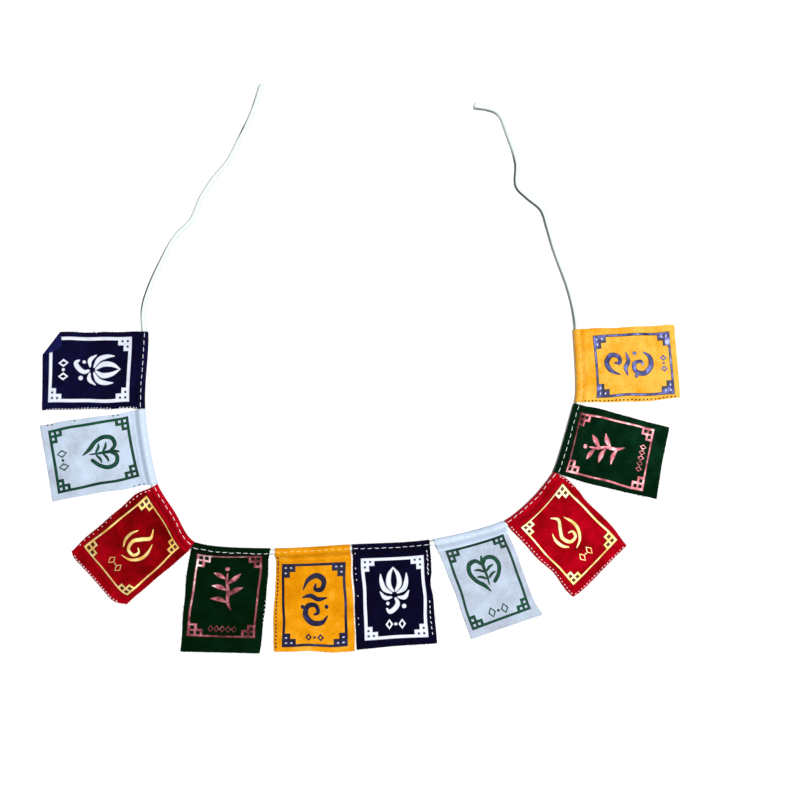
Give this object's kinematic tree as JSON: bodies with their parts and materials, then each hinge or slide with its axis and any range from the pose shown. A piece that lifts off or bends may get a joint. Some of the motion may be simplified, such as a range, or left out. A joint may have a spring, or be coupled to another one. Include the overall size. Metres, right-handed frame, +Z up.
{
  "type": "tibetan prayer flag string",
  "caption": "String of small rectangular cloth flags with printed borders, hemmed over one round cord with two free ends, laid flat in a loose U.",
  "frame": {"origin": "middle of the layout's box on the surface it lies on", "axes": "+X to the right along the layout's width, +Y from the closed end of the U to the cord's free ends, +Z up from the surface"},
  "size_m": [0.499, 0.4441, 0.007],
  "materials": {
    "cord_cotton": "braided white cotton cord, matt",
    "cloth_navy": "napped navy cloth, dark with a soft sheen",
    "cloth_white": "plain woven bluish white cloth, matt",
    "cloth_red": "napped red cloth with a soft sheen",
    "cloth_green": "napped dark green cloth with a soft sheen",
    "cloth_yellow": "soft napped yellow cloth",
    "print_white": "satin white transfer print",
    "print_green": "satin dark green transfer print",
    "print_gold": "gold foil transfer print",
    "print_rose": "rose foil transfer print",
    "print_blue": "dark blue foil transfer print",
    "thread_white": "white sewing thread",
    "thread_dark": "dark sewing thread"
  },
  "bodies": {
    "root": {"cord": "cord_cotton", "flag_01_navy": "cloth_navy", "flag_02_white": "cloth_white", "flag_03_red": "cloth_red", "flag_04_green": "cloth_green", "flag_05_yellow": "cloth_yellow", "flag_06_navy": "cloth_navy", "flag_07_white": "cloth_white", "flag_08_red": "cloth_red", "flag_09_green": "cloth_green", "flag_10_yellow": "cloth_yellow"}
  },
  "joints": []
}
